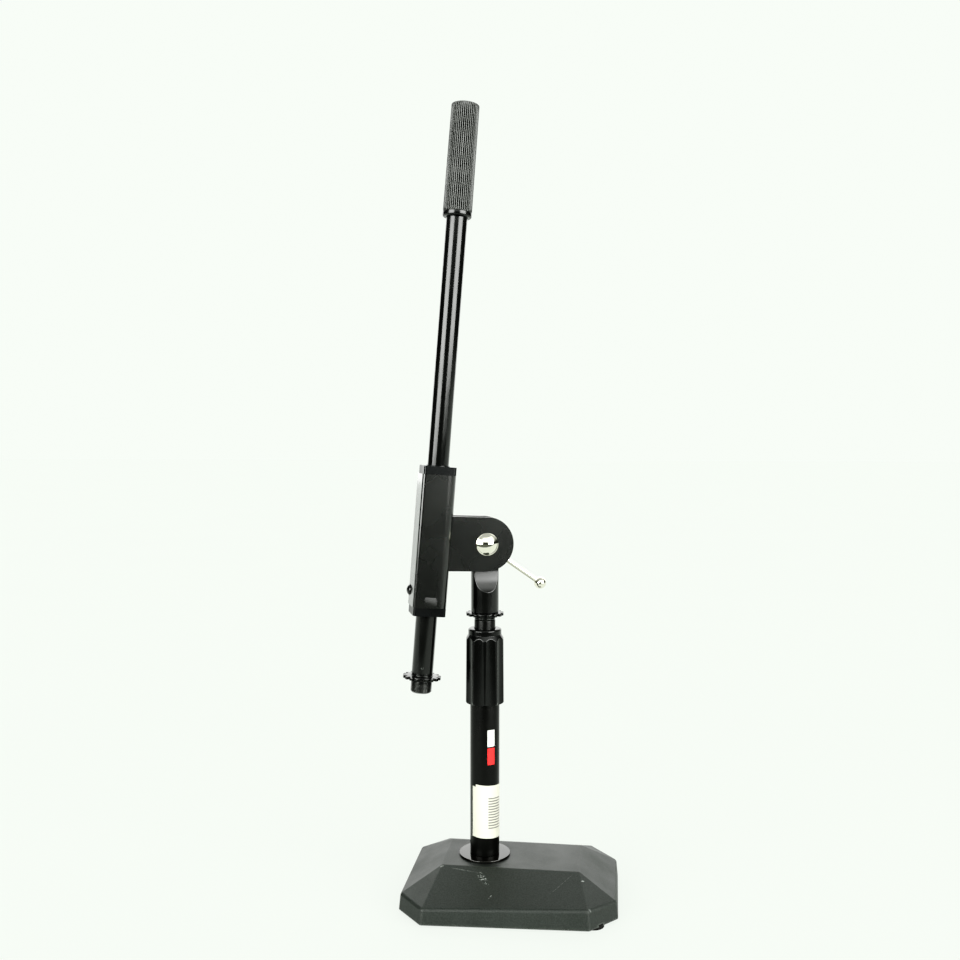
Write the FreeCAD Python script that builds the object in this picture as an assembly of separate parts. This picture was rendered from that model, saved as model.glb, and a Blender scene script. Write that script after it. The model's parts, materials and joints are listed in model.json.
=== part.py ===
import FreeCAD, Part

import math
import os

# A low boom stand: a weighted base, a telescopic column with a twist clutch, a tilting clamp head
# and a boom with a counterweight at its upper end and a microphone thread at its lower end.
# Millimetres, +Z up, origin on the floor under the middle of the base, +X along the base's long side.

# ---- weighted base ----
FOOT_PROUD = 2.0            # gap that the feet leave under the casting
BASE_LENGTH = 159.2
BASE_WIDTH = 124.3          # half way along
BASE_TAPER = 0.0009         # the column's end is wider: change of width, per unit of width and of length
CORNER_CUT_X = 20.0
CORNER_CUT_Y = 22.2
WALL_SHRINK = 0.0012        # draft of the upright wall: shrink of the outline per unit of height
PLATEAU_HEIGHT = 29.2
PLATEAU_LENGTH = 101.7
PLATEAU_WIDTH = 48.8
PLATEAU_SHIFT = 0.5         # the plateau's middle is a little towards the narrow end
LONG_SLOPE = 0.397          # fall of the facets along the long sides
END_SLOPE = 0.55            # fall of the facets at the ends
CASTING_ROUND = 3.2
FOOT_RADIUS = 8.0
FOOT_THICKNESS = 3.4
FOOT_INSET_X = 17.8         # foot centre in from the base's end
FOOT_INSET_Y = 17.3
BOLT_RADIUS = 4.9
BOLT_HOLE_RADIUS = 5.3
BOLT_HEAD_FLATS = 16.0
BOLT_HEAD_HEIGHT = 6.2
BOLT_POCKET_RADIUS = 15.0
BOLT_POCKET_TOP = 11.0
BOLT_WASHER_RADIUS = 12.0
BOLT_WASHER_THICKNESS = 2.0

# ---- column ----
COLUMN_X = -21.5            # the column stands towards one end of the base
BASE_WASHER_RADIUS = 19.3
BASE_WASHER_THICKNESS = 1.5
TUBE_RADIUS = 11.11         # 7/8 inch tube
TUBE_BORE = 9.5
TUBE_TOP = 172.0
FOOT_PLUG_HEIGHT = 11.8
SHAFT_RADIUS = 7.94         # 5/8 inch tube
SHAFT_BORE = 6.7
SHAFT_BOTTOM = 54.3
SHAFT_TOP = 209.5
BUSH_BOTTOM = 52.0
BUSH_TOP = 66.0
THREAD_RADIUS = 7.9         # 5/8 inch thread, over its crests
RUNNING_GAP = 0.06
SEAT_GAP = 0.05

# ---- twist clutch ----
GRIP_BOTTOM = 146.0
GRIP_TOP = 202.8
GRIP_RADIUS_BOTTOM = 14.95
GRIP_RADIUS_TOP = 14.5
GRIP_SHOULDER_LOW = 194.8   # the fluted body narrows here to a plain neck
GRIP_SHOULDER_HIGH = 198.2
GRIP_NECK_RADIUS = 12.5
GRIP_BRIM = 1.4             # rounding of the neck's upper edge
GRIP_HEEL = 2.6             # rounding of the grip's lower edge
GRIP_CAVITY = 11.75
GRIP_MOUTH = 11.45
SHAFT_MOUTH = 8.3
FLUTE_COUNT = 10
FLUTE_CUTTER_RADIUS = 10.0
FLUTE_DEPTH = 1.5           # at the grip's lower end
FLUTE_PHASE = 23.2
COLLAR_RADIUS = 10.6
COLLAR_BOTTOM = 158.0
COLLAR_TOP = 186.0
COLLAR_BORE = 8.2
COLLET_TOP = 192.0
COLLET_SLIT = 1.6
CLUTCH_NUT_BOTTOM = 173.0
CLUTCH_NUT_TOP = 185.0

# ---- star lock nuts ----
NUT_RING_RADIUS = 11.9
NUT_TIP_RADIUS = 14.2
NUT_TEETH = 16
NUT_TOOTH_WIDTH = 2.9
NUT_THICKNESS = 2.2
COLUMN_NUT_BOTTOM = 212.6

# ---- swivel adapter ----
ADAPTER_RADIUS = 10.4
ADAPTER_BOTTOM = 215.1
ADAPTER_BORE_TOP = 229.0
PIVOT_HEIGHT = 267.0
HEAD_YAW = 20.0             # the head is turned this far about the column
TONGUE_HALF = 4.7
SCOOP_RADIUS = 28.0         # cutter that blends the round body into the flat tongue
SCOOP_HEIGHT = 248.0
SCOOP_EDGE = 0.8            # rounding of the scoops' and the tongue's edges
FRICTION_WASHER_RADIUS = 10.1
FRICTION_WASHER_THICKNESS = 1.2

# ---- clamp head: drawn with the pivot at the origin and the boom upright ----
LEAN = 4.53                 # then the head is tipped this far towards the column
BOOM_OFFSET = 40.3          # boom axis to pivot axis
SHEET = 2.0
HOUSING_HALF = 13.0         # half the housing's square section
HOUSING_END = 49.3          # half the housing's length
OUTER_BEND = 2.5            # bends on the side away from the column
INNER_BEND = 6.9            # bends on the side of the ears
EAR_OUTSIDE = 8.0           # outside of each ear, from the middle plane
EAR_RADIUS = 20.4
EAR_SAG = 2.6               # the ears' edges fall by this angle from the pivot towards the housing
TAB_WIDTH = 9.0             # pressed tab that keeps the insert in place
TAB_HEIGHT = 5.7
TAB_DEPTH = 0.9
TAB_POSITION = -44.0
CAP_END = 55.4              # the insert's caps reach this far past the middle
CAP_HALF = 12.2
CAP_ROUND = 2.0
INSERT_HALF = 10.9
INSERT_SLIT = 1.6
SLEEVE_RADIUS = 8.8
SLEEVE_END = 56.0           # a short lip of it shows past each cap
RIVET_RADIUS = 4.3
RIVET_PROUD = 2.4
RIVET_SHANK = 2.0
RIVET_BACK = 7.5            # behind the middle plane
RIVET_POSITION = -38.7

# ---- pivot bolt and lever ----
PIVOT_RADIUS = 4.0
PIVOT_HEAD_RADIUS = 8.4
PIVOT_HEAD_HEIGHT = 4.2
PIVOT_END = 16.2
HUB_RADIUS = 6.8
HUB_WASHER_RADIUS = 7.6
HUB_WASHER_THICKNESS = 1.2
HUB_END = 24.5
HUB_ROUND = 1.5
BAR_RADIUS = 1.95
BAR_PLANE = 19.0            # behind the middle plane
BAR_DROP = 35.0             # the bar points this far below level
BAR_LONG_ARM = 59.5         # pivot to the far ball
BAR_SHORT_ARM = 12.0        # pivot to the near ball
BALL_RADIUS = 4.7

# ---- boom: positions along it, measured up from the pivot's height ----
BOOM_TUBE_LOW = -100.3
BOOM_TUBE_HIGH = 258.0
MIC_THREAD_LOW = -114.0
MIC_THREAD_RADIUS = 7.65    # the exposed thread, at the mean of its crests and roots
MIC_NUT_TOP = -101.5
MIC_NUT_BOTTOM = MIC_NUT_TOP - NUT_THICKNESS
MIC_NUT_GAP = 0.2           # land left under the nut
THREAD_CHAMFER = 1.0
PIN_POSITION = -95.0
PIN_RADIUS = 1.25
PIN_TURN = -12.5
WEIGHT_LOW = 243.6
WEIGHT_HIGH = 322.8
WEIGHT_RADIUS_LOW = 10.8
WEIGHT_RADIUS_HIGH = 10.35
WEIGHT_ROUND = 0.8
WEIGHT_BORE_TOP = 262.0
WEIGHT_COLLAR_LOW = 239.8
WEIGHT_COLLAR_RADIUS = 10.95
WEIGHT_COLLAR_ROUND = 1.4

X = FreeCAD.Vector(1, 0, 0)
Y = FreeCAD.Vector(0, 1, 0)
Z = FreeCAD.Vector(0, 0, 1)
ORIGIN = FreeCAD.Vector(0, 0, 0)
ALIGNED = 0.01              # directions count as parallel below this sine


def at(x, y, z):
    return FreeCAD.Vector(x, y, z)


def rod(radius, low, high):
    """A round bar along Z."""
    return Part.makeCylinder(radius, high - low, at(0, 0, low))


def ring(outer, inner, low, high):
    return rod(outer, low, high).cut(rod(inner, low - 1, high + 1))


def cross_rod(radius, front, back):
    """A round bar along Y."""
    return Part.makeCylinder(radius, back - front, at(0, front, 0), Y)


def box(low, high):
    sizes = [b - a for a, b in zip(low, high)]
    return Part.makeBox(*sizes, at(*low))


def lathe(start, *steps):
    """A solid turned about Z. Each step is a point (r, z), or a pair of points for an arc and its end."""
    edges = []
    here = at(start[0], 0, start[1])
    for step in steps + (start,):
        if isinstance(step[0], tuple):
            middle = at(step[0][0], 0, step[0][1])
            end = at(step[1][0], 0, step[1][1])
            edges.append(Part.Arc(here, middle, end).toShape())
        else:
            end = at(step[0], 0, step[1])
            edges.append(Part.makeLine(here, end))
        here = end
    return Part.Face(Part.Wire(edges)).revolve(ORIGIN, Z, 360)


def quarter(centre_r, centre_z, radius, angle):
    """The point of a rounding's circle at an angle in degrees, as (r, z)."""
    turn = math.radians(angle)
    return (centre_r + radius * math.cos(turn), centre_z + radius * math.sin(turn))


def polygon(points, z):
    return Part.makePolygon([at(x, y, z) for x, y in points + points[:1]])


def outward_face(corners, inside):
    """A flat face whose normal points away from a point inside the solid."""
    face = Part.Face(Part.makePolygon(corners + corners[:1]))
    u_low, u_high, v_low, v_high = face.ParameterRange
    normal = face.normalAt((u_low + u_high) / 2, (v_low + v_high) / 2)
    if normal.dot(face.CenterOfMass - inside) < 0:
        face.reverse()
    return face


def convex_solid(faces, inside):
    return Part.makeSolid(Part.makeShell([outward_face(corners, inside) for corners in faces]))


def on_column(shape):
    """Turns a piece drawn on the Z axis with the head, and stands it on the column's axis."""
    shape.rotate(ORIGIN, Z, HEAD_YAW)
    shape.translate(at(COLUMN_X, 0, 0))
    return shape


def on_head(shape):
    """Moves a piece drawn about the pivot to its place on the stand."""
    shape.rotate(ORIGIN, Y, LEAN)
    shape.translate(at(0, 0, PIVOT_HEIGHT))
    return on_column(shape)


def on_boom(shape):
    """Moves a piece drawn about the Z axis to the boom's axis."""
    shape.translate(at(-BOOM_OFFSET, 0, 0))
    return on_head(shape)


# ---- base ----

def base_outline():
    """The outline at the floor, as eight corners from the front left: two on each side."""
    x = BASE_LENGTH / 2
    y = BASE_WIDTH / 2
    near_x = x - CORNER_CUT_X
    near_y = y - CORNER_CUT_Y
    half = [(-near_x, -y), (near_x, -y), (x, -near_y), (x, near_y)]
    corners = half + [(-a, -b) for a, b in half]
    return [(a, b * (1 - BASE_TAPER * a)) for a, b in corners]


def rim_corner(x, y, on_long_side):
    """Where a corner of the leaning wall meets the facet above its side."""
    if on_long_side:
        slope = LONG_SLOPE
        reach = abs(y)
        edge = PLATEAU_WIDTH / 2
    else:
        slope = END_SLOPE
        reach = abs(x)
        edge = PLATEAU_LENGTH / 2 + math.copysign(PLATEAU_SHIFT, x)
    rise = PLATEAU_HEIGHT + slope * edge - slope * reach * (1 + WALL_SHRINK * FOOT_PROUD)
    z = rise / (1 - slope * reach * WALL_SHRINK)
    keep = 1 - WALL_SHRINK * (z - FOOT_PROUD)
    return at(x * keep, y * keep, z)


def base_casting():
    outline = base_outline()
    bottom = [at(x, y, FOOT_PROUD) for x, y in outline]
    rim = [rim_corner(x, y, i % 4 < 2) for i, (x, y) in enumerate(outline)]
    px = PLATEAU_LENGTH / 2
    py = PLATEAU_WIDTH / 2
    signs = [(-1, -1), (1, -1), (1, 1), (-1, 1)]
    top = [at(PLATEAU_SHIFT + i * px, j * py, PLATEAU_HEIGHT) for i, j in signs]
    faces = [bottom, top]
    for i in range(8):
        faces.append([bottom[i], bottom[(i + 1) % 8], rim[(i + 1) % 8], rim[i]])
    for i in range(4):
        start = rim[2 * i]
        end = rim[2 * i + 1]
        after = rim[(2 * i + 2) % 8]
        faces.append([start, end, top[(i + 1) % 4], top[i]])
        faces.append([end, after, top[(i + 1) % 4]])
    body = convex_solid(faces, at(0, 0, PLATEAU_HEIGHT / 2))
    upper_edges = [e for e in body.Edges if max(v.Point.z for v in e.Vertexes) > FOOT_PROUD + 1]
    body = body.makeFillet(CASTING_ROUND, upper_edges)
    body = body.cut(rod(BOLT_HOLE_RADIUS, 0, PLATEAU_HEIGHT + 1).translate(at(COLUMN_X, 0, 0)))
    body = body.cut(rod(BOLT_POCKET_RADIUS, 0, BOLT_POCKET_TOP).translate(at(COLUMN_X, 0, 0)))
    for foot in feet():
        body = body.cut(foot)
    return body


def feet():
    x = BASE_LENGTH / 2 - FOOT_INSET_X
    y = BASE_WIDTH / 2 - FOOT_INSET_Y
    places = [(i, j) for i in (-x, x) for j in (-y, y)]
    return [rod(FOOT_RADIUS, 0, FOOT_THICKNESS).translate(at(i, j, 0)) for i, j in places]


def rubber_feet():
    return Part.makeCompound(feet())


def base_bolt():
    head_top = BOLT_POCKET_TOP - BOLT_WASHER_THICKNESS
    corner = BOLT_HEAD_FLATS / math.sqrt(3)
    turns = [math.radians(60 * i) for i in range(6)]
    outline = [(corner * math.cos(t), corner * math.sin(t)) for t in turns]
    head = Part.Face(polygon(outline, head_top - BOLT_HEAD_HEIGHT)).extrude(Z * BOLT_HEAD_HEIGHT)
    shank = rod(BOLT_RADIUS, head_top, PLATEAU_HEIGHT + BASE_WASHER_THICKNESS + FOOT_PLUG_HEIGHT - 1)
    return on_column(head.fuse(shank).removeSplitter())


def base_bolt_washer():
    low = BOLT_POCKET_TOP - BOLT_WASHER_THICKNESS
    return on_column(ring(BOLT_WASHER_RADIUS, BOLT_HOLE_RADIUS, low, BOLT_POCKET_TOP))


def base_washer():
    top = PLATEAU_HEIGHT + BASE_WASHER_THICKNESS
    return on_column(ring(BASE_WASHER_RADIUS, BOLT_HOLE_RADIUS, PLATEAU_HEIGHT, top))


# ---- column ----

def lower_tube():
    return on_column(ring(TUBE_RADIUS, TUBE_BORE, PLATEAU_HEIGHT + BASE_WASHER_THICKNESS, TUBE_TOP))


def tube_foot_plug():
    low = PLATEAU_HEIGHT + BASE_WASHER_THICKNESS
    return on_column(ring(TUBE_BORE - SEAT_GAP, BOLT_RADIUS + SEAT_GAP, low, low + FOOT_PLUG_HEIGHT))


def clutch_collar():
    """Threaded collar in the tube's mouth, with a conical seat for the collet."""
    seat = COLLAR_TOP - 8
    body = lathe(
        (COLLAR_BORE, COLLAR_BOTTOM),
        (TUBE_BORE - SEAT_GAP, COLLAR_BOTTOM),
        (TUBE_BORE - SEAT_GAP, TUBE_TOP),
        (COLLAR_RADIUS, TUBE_TOP),
        (COLLAR_RADIUS, COLLAR_TOP),
        (COLLAR_RADIUS - 1, COLLAR_TOP),
        (COLLAR_BORE, seat),
    )
    return on_column(body)


def clutch_collet():
    """Split ring that the grip squeezes onto the inner shaft."""
    bore = SHAFT_RADIUS + RUNNING_GAP
    body = lathe(
        (bore, COLLAR_TOP - 7.4),
        (COLLAR_RADIUS - 1.15, COLLAR_TOP + 0.2),
        (COLLAR_RADIUS - 0.2, COLLAR_TOP + 0.5),
        (COLLAR_RADIUS - 0.2, COLLET_TOP - 3),
        (bore + 1, COLLET_TOP),
        (bore, COLLET_TOP),
    )
    slit = box((0, -COLLET_SLIT / 2, COLLAR_BOTTOM), (2 * COLLAR_RADIUS, COLLET_SLIT / 2, COLLET_TOP + 1))
    return on_column(body.cut(slit))


def clutch_nut():
    outer = GRIP_CAVITY - SEAT_GAP
    return on_column(ring(outer, COLLAR_RADIUS + RUNNING_GAP, CLUTCH_NUT_BOTTOM, CLUTCH_NUT_TOP))


def clutch_grip():
    """Plastic sleeve whose flutes run out through its shoulder, with a plain neck around the shaft."""
    heel_r = GRIP_RADIUS_BOTTOM - GRIP_HEEL
    heel_z = GRIP_BOTTOM + GRIP_HEEL
    brim_r = GRIP_NECK_RADIUS - GRIP_BRIM
    brim_z = GRIP_TOP - GRIP_BRIM
    body = lathe(
        (GRIP_MOUTH, GRIP_BOTTOM),
        (heel_r, GRIP_BOTTOM),
        (quarter(heel_r, heel_z, GRIP_HEEL, -45), (GRIP_RADIUS_BOTTOM, heel_z)),
        (GRIP_RADIUS_TOP, GRIP_SHOULDER_LOW),
        (GRIP_NECK_RADIUS, GRIP_SHOULDER_HIGH),
        (GRIP_NECK_RADIUS, brim_z),
        (quarter(brim_r, brim_z, GRIP_BRIM, 45), (brim_r, GRIP_TOP)),
        (SHAFT_MOUTH, GRIP_TOP),
        (SHAFT_MOUTH, COLLET_TOP + 3),
        (GRIP_CAVITY, COLLET_TOP - 2),
        (GRIP_CAVITY, GRIP_BOTTOM + 3),
        (GRIP_MOUTH, GRIP_BOTTOM + 3),
    )
    reach = GRIP_RADIUS_BOTTOM - FLUTE_DEPTH + FLUTE_CUTTER_RADIUS
    for i in range(FLUTE_COUNT):
        turn = math.radians(FLUTE_PHASE + 360 * i / FLUTE_COUNT)
        x = reach * math.cos(turn)
        y = reach * math.sin(turn)
        cutter = rod(FLUTE_CUTTER_RADIUS, GRIP_BOTTOM - 1, GRIP_TOP + 1)
        body = body.cut(cutter.translate(at(x, y, 0)))
    return on_column(body)


def shaft_bush():
    """Plastic cup on the inner shaft's lower end, which slides in the lower tube."""
    outer = rod(TUBE_BORE - RUNNING_GAP, BUSH_BOTTOM, BUSH_TOP)
    return on_column(outer.cut(rod(SHAFT_RADIUS + RUNNING_GAP, SHAFT_BOTTOM - 0.3, BUSH_TOP + 1)))


def inner_shaft():
    return on_column(ring(SHAFT_RADIUS, SHAFT_BORE, SHAFT_BOTTOM, SHAFT_TOP))


def shaft_thread_insert():
    plug = rod(SHAFT_BORE - SEAT_GAP, SHAFT_TOP - 14, SHAFT_TOP)
    return on_column(plug.fuse(rod(THREAD_RADIUS, SHAFT_TOP, ADAPTER_BORE_TOP - 2)).removeSplitter())


def star_nut(low):
    """Thin ring with square teeth around it, threaded onto a 5/8 inch thread."""
    body = rod(NUT_RING_RADIUS, low, low + NUT_THICKNESS)
    half = NUT_TOOTH_WIDTH / 2
    inside = NUT_RING_RADIUS - 1
    for i in range(NUT_TEETH):
        tooth = box((inside, -half, low), (NUT_TIP_RADIUS, half, low + NUT_THICKNESS))
        body = body.fuse(tooth.rotate(ORIGIN, Z, 360 * i / NUT_TEETH))
    return body.removeSplitter().cut(rod(THREAD_RADIUS + RUNNING_GAP, low - 1, low + NUT_THICKNESS + 1))


def column_lock_nut():
    return on_column(star_nut(COLUMN_NUT_BOTTOM))


# ---- swivel adapter ----

def is_level(edge):
    """True for a straight edge along X, as where a scoop runs into the flat above it."""
    return isinstance(edge.Curve, Part.Line) and edge.tangentAt(edge.FirstParameter).cross(X).Length < ALIGNED


def swivel_adapter():
    """Round body that narrows through two scoops to a flat tongue with a rounded top."""
    top = PIVOT_HEIGHT + ADAPTER_RADIUS
    body = rod(ADAPTER_RADIUS, ADAPTER_BOTTOM, PIVOT_HEIGHT)
    crown = Part.makeCylinder(ADAPTER_RADIUS, 2 * TONGUE_HALF, at(0, -TONGUE_HALF, PIVOT_HEIGHT), Y)
    body = body.fuse(crown)
    reach = 2 * ADAPTER_RADIUS
    for side in (-1, 1):
        wall = side * TONGUE_HALF
        edges = sorted((wall, side * reach))
        body = body.cut(box((-reach, edges[0], SCOOP_HEIGHT), (reach, edges[1], top + 1)))
        centre = at(-reach, side * (TONGUE_HALF + SCOOP_RADIUS), SCOOP_HEIGHT)
        body = body.cut(Part.makeCylinder(SCOOP_RADIUS, 2 * reach, centre, X))
    above_bottom = ADAPTER_BOTTOM + SCOOP_EDGE
    tongue_edges = [e for e in body.Edges if min(v.Point.z for v in e.Vertexes) > above_bottom]
    outline = [e for e in tongue_edges if not is_level(e)]
    body = body.makeFillet(SCOOP_EDGE, outline)
    body = body.cut(rod(THREAD_RADIUS + SEAT_GAP, ADAPTER_BOTTOM - 1, ADAPTER_BORE_TOP))
    pivot_hole = cross_rod(PIVOT_RADIUS + RUNNING_GAP, -reach, reach).translate(at(0, 0, PIVOT_HEIGHT))
    return on_column(body.cut(pivot_hole))


def friction_washers():
    washers = []
    for side in (-1, 1):
        faces = sorted((side * (TONGUE_HALF + SEAT_GAP), side * (TONGUE_HALF + FRICTION_WASHER_THICKNESS)))
        disc = cross_rod(FRICTION_WASHER_RADIUS, *faces)
        disc = disc.cut(cross_rod(PIVOT_RADIUS + RUNNING_GAP, faces[0] - 1, faces[1] + 1))
        washers.append(disc.translate(at(0, 0, PIVOT_HEIGHT)))
    return on_column(Part.makeCompound(washers))


# ---- clamp head ----

def sheet_path(skin):
    """The folded sheet's section at a depth below its outer skin, from one free edge to the other."""
    half = HOUSING_HALF - skin
    outer = OUTER_BEND - skin
    inner = INNER_BEND - skin
    far = -BOOM_OFFSET - half
    near = -BOOM_OFFSET + half
    lip = EAR_OUTSIDE - SHEET
    r45 = math.sqrt(0.5)
    edges = []
    for side in (-1, 1):
        bend = at(near - inner, side * (half - inner), 0)
        corner = at(far + outer, side * (half - outer), 0)
        run = [
            Part.makeLine(at(near, side * lip, 0), at(near, side * (half - inner), 0)),
            Part.Arc(
                at(near, side * (half - inner), 0),
                bend + at(inner * r45, side * inner * r45, 0),
                at(near - inner, side * half, 0),
            ).toShape(),
            Part.makeLine(at(near - inner, side * half, 0), at(far + outer, side * half, 0)),
            Part.Arc(
                at(far + outer, side * half, 0),
                corner + at(-outer * r45, side * outer * r45, 0),
                at(far, side * (half - outer), 0),
            ).toShape(),
        ]
        edges += run
    edges.append(Part.makeLine(at(far, half - outer, 0), at(far, outer - half, 0)))
    return edges, at(near, lip, 0), at(near, -lip, 0)


def boom_bracket():
    """One folded sheet: a square housing around the boom, open on one side, whose edges run on as two ears."""
    outside, out_back, out_front = sheet_path(0)
    inside, in_back, in_front = sheet_path(SHEET)
    loop = outside + inside + [Part.makeLine(out_back, in_back), Part.makeLine(out_front, in_front)]
    section = Part.Face(Part.Wire(Part.__sortEdges__(loop)))
    section.translate(at(0, 0, -HOUSING_END))
    body = section.extrude(Z * (2 * HOUSING_END))
    root = -BOOM_OFFSET + HOUSING_HALF - SHEET / 2
    sag = math.radians(EAR_SAG)
    touch_x = EAR_RADIUS * math.sin(sag)
    touch_z = EAR_RADIUS * math.cos(sag)
    root_low = (root - touch_x) * math.tan(sag) - touch_z
    root_high = (root + touch_x) * math.tan(sag) + touch_z
    web_outline = [(root, root_low), (touch_x, -touch_z), (-touch_x, touch_z), (root, root_high)]
    for side in (-1, 1):
        faces = sorted((side * EAR_OUTSIDE, side * (EAR_OUTSIDE - SHEET)))
        ear = cross_rod(EAR_RADIUS, *faces)
        web = Part.Face(Part.makePolygon([at(x, faces[0], z) for x, z in web_outline + web_outline[:1]]))
        ear = ear.fuse(web.extrude(Y * SHEET))
        body = body.fuse(ear)
    body = body.removeSplitter()
    body = body.cut(cross_rod(PIVOT_RADIUS + RUNNING_GAP, -2 * HOUSING_HALF, 2 * HOUSING_HALF))
    body = body.cut(pressed_tab())
    rivet_hole = Part.makeCylinder(RIVET_SHANK + SEAT_GAP, 4 * SHEET, rivet_seat() - X * SHEET, X)
    return on_head(body.cut(rivet_hole))


def pressed_tab():
    """The wedge that the tab in the housing's front leaves: deep at its top edge, flush at its bottom."""
    top = TAB_POSITION + TAB_HEIGHT / 2
    bottom = TAB_POSITION - TAB_HEIGHT / 2
    face = -HOUSING_HALF
    side = [at(0, face - 1, bottom), at(0, face, bottom), at(0, face + TAB_DEPTH, top), at(0, face - 1, top)]
    wedge = Part.Face(Part.makePolygon(side + side[:1])).extrude(X * TAB_WIDTH)
    return wedge.translate(at(-BOOM_OFFSET - TAB_WIDTH / 2, 0, 0))


def rivet_seat():
    return at(-BOOM_OFFSET - HOUSING_HALF, RIVET_BACK, RIVET_POSITION)


def side_rivet():
    """Domed head on the housing's outer side, with a shank into the insert."""
    dome_radius = (RIVET_RADIUS ** 2 + RIVET_PROUD ** 2) / (2 * RIVET_PROUD)
    dome = Part.makeSphere(dome_radius, rivet_seat() + X * (dome_radius - RIVET_PROUD))
    seat = rivet_seat()
    keep = box((seat.x - 10, seat.y - 10, seat.z - 10), (seat.x, seat.y + 10, seat.z + 10))
    shank = Part.makeCylinder(RIVET_SHANK, 2 * SHEET, seat, X)
    return on_head(dome.common(keep).fuse(shank).removeSplitter())


def rounded_block(half, low, high, radius):
    block = box((-half, -half, low), (half, half, high))
    uprights = [e for e in block.Edges if abs(e.Vertexes[0].Point.z - e.Vertexes[1].Point.z) > 1]
    return block.makeFillet(radius, uprights)


def clamp_insert():
    """Plastic liner that fills the housing, with a cap at each end and a slit on the side of the ears."""
    body = rounded_block(INSERT_HALF, -HOUSING_END, HOUSING_END, INNER_BEND - SHEET)
    caps = [(HOUSING_END + SEAT_GAP, CAP_END), (-CAP_END, -HOUSING_END - SEAT_GAP)]
    for low, high in caps:
        body = body.fuse(rounded_block(CAP_HALF, low, high, CAP_ROUND))
    neck = rounded_block(INSERT_HALF, -CAP_END, CAP_END, INNER_BEND - SHEET)
    body = body.fuse(neck).removeSplitter()
    body = body.cut(rod(SLEEVE_RADIUS + RUNNING_GAP, -CAP_END - 1, CAP_END + 1))
    half = INSERT_SLIT / 2
    body = body.cut(box((0, -half, -CAP_END - 1), (2 * CAP_HALF, half, CAP_END + 1)))
    body.translate(at(-BOOM_OFFSET, 0, 0))
    rivet_hole = Part.makeCylinder(RIVET_SHANK + SEAT_GAP, 2 * SHEET + 0.5, rivet_seat(), X)
    return on_head(body.cut(rivet_hole).cut(pressed_tab()))


def pivot_bolt():
    """Domed head on the front ear, with a shank through both ears into the lever's hub."""
    dome_radius = (PIVOT_HEAD_RADIUS ** 2 + PIVOT_HEAD_HEIGHT ** 2) / (2 * PIVOT_HEAD_HEIGHT)
    dome = Part.makeSphere(dome_radius, at(0, dome_radius - EAR_OUTSIDE - PIVOT_HEAD_HEIGHT, 0))
    reach = 2 * PIVOT_HEAD_RADIUS
    head = dome.common(box((-reach, -reach, -reach), (reach, -EAR_OUTSIDE, reach)))
    return on_head(head.fuse(cross_rod(PIVOT_RADIUS, -EAR_OUTSIDE, PIVOT_END)).removeSplitter())


# ---- lever: drawn with its bar level, then turned down to its resting angle ----

def on_lever(shape):
    shape.rotate(ORIGIN, Y, BAR_DROP - LEAN)
    return on_head(shape)


def lever_washer():
    face = EAR_OUTSIDE + SEAT_GAP
    disc = cross_rod(HUB_WASHER_RADIUS, face, face + HUB_WASHER_THICKNESS)
    return on_lever(disc.cut(cross_rod(PIVOT_RADIUS + RUNNING_GAP, face - 1, face + 3)))


def lever_bar_rod(radius, low, high):
    return Part.makeCylinder(radius, high - low, at(low, BAR_PLANE, 0), X)


def lever_hub():
    """Blind nut on the pivot bolt, cross-drilled for the bar."""
    face = EAR_OUTSIDE + HUB_WASHER_THICKNESS + 2 * SEAT_GAP
    body = cross_rod(HUB_RADIUS, face, HUB_END)
    rims = [e for e in body.Edges if isinstance(e.Curve, Part.Circle) and e.BoundBox.YMin > HUB_END - 0.01]
    body = body.makeFillet(HUB_ROUND, rims)
    body = body.cut(cross_rod(PIVOT_RADIUS + RUNNING_GAP, face - 1, PIVOT_END + 0.2))
    return on_lever(body.cut(lever_bar_rod(BAR_RADIUS + RUNNING_GAP, -2 * HUB_RADIUS, 2 * HUB_RADIUS)))


def lever_bar():
    return on_lever(lever_bar_rod(BAR_RADIUS, -BAR_SHORT_ARM, BAR_LONG_ARM))


def lever_balls():
    hole = lever_bar_rod(BAR_RADIUS, -BAR_SHORT_ARM, BAR_LONG_ARM)
    centres = (-BAR_SHORT_ARM, BAR_LONG_ARM)
    balls = [Part.makeSphere(BALL_RADIUS, at(x, BAR_PLANE, 0)).cut(hole) for x in centres]
    return on_lever(Part.makeCompound(balls))


# ---- boom: drawn about the Z axis, with the pivot's height at zero ----

def friction_sleeve():
    return on_boom(ring(SLEEVE_RADIUS, SHAFT_RADIUS + RUNNING_GAP, -SLEEVE_END, SLEEVE_END))


def pin_rod(radius, reach):
    return cross_rod(radius, -reach, reach).translate(at(0, 0, PIN_POSITION)).rotate(ORIGIN, Z, PIN_TURN)


def pin_hole():
    return pin_rod(PIN_RADIUS + SEAT_GAP, SHAFT_RADIUS + 1)


def boom_tube():
    tube = ring(SHAFT_RADIUS, SHAFT_BORE, BOOM_TUBE_LOW, BOOM_TUBE_HIGH)
    return on_boom(tube.cut(pin_hole()))


def boom_thread_insert():
    """Plug in the boom's lower end that carries the microphone thread."""
    end = lathe(
        (0, MIC_THREAD_LOW),
        (MIC_THREAD_RADIUS - THREAD_CHAMFER, MIC_THREAD_LOW),
        (MIC_THREAD_RADIUS, MIC_THREAD_LOW + THREAD_CHAMFER),
        (MIC_THREAD_RADIUS, MIC_NUT_BOTTOM - MIC_NUT_GAP),
        (THREAD_RADIUS, MIC_NUT_BOTTOM - MIC_NUT_GAP),
        (THREAD_RADIUS, BOOM_TUBE_LOW),
        (SHAFT_BORE - SEAT_GAP, BOOM_TUBE_LOW),
        (SHAFT_BORE - SEAT_GAP, BOOM_TUBE_LOW + 14),
        (0, BOOM_TUBE_LOW + 14),
    )
    return on_boom(end.cut(pin_hole()))


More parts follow.
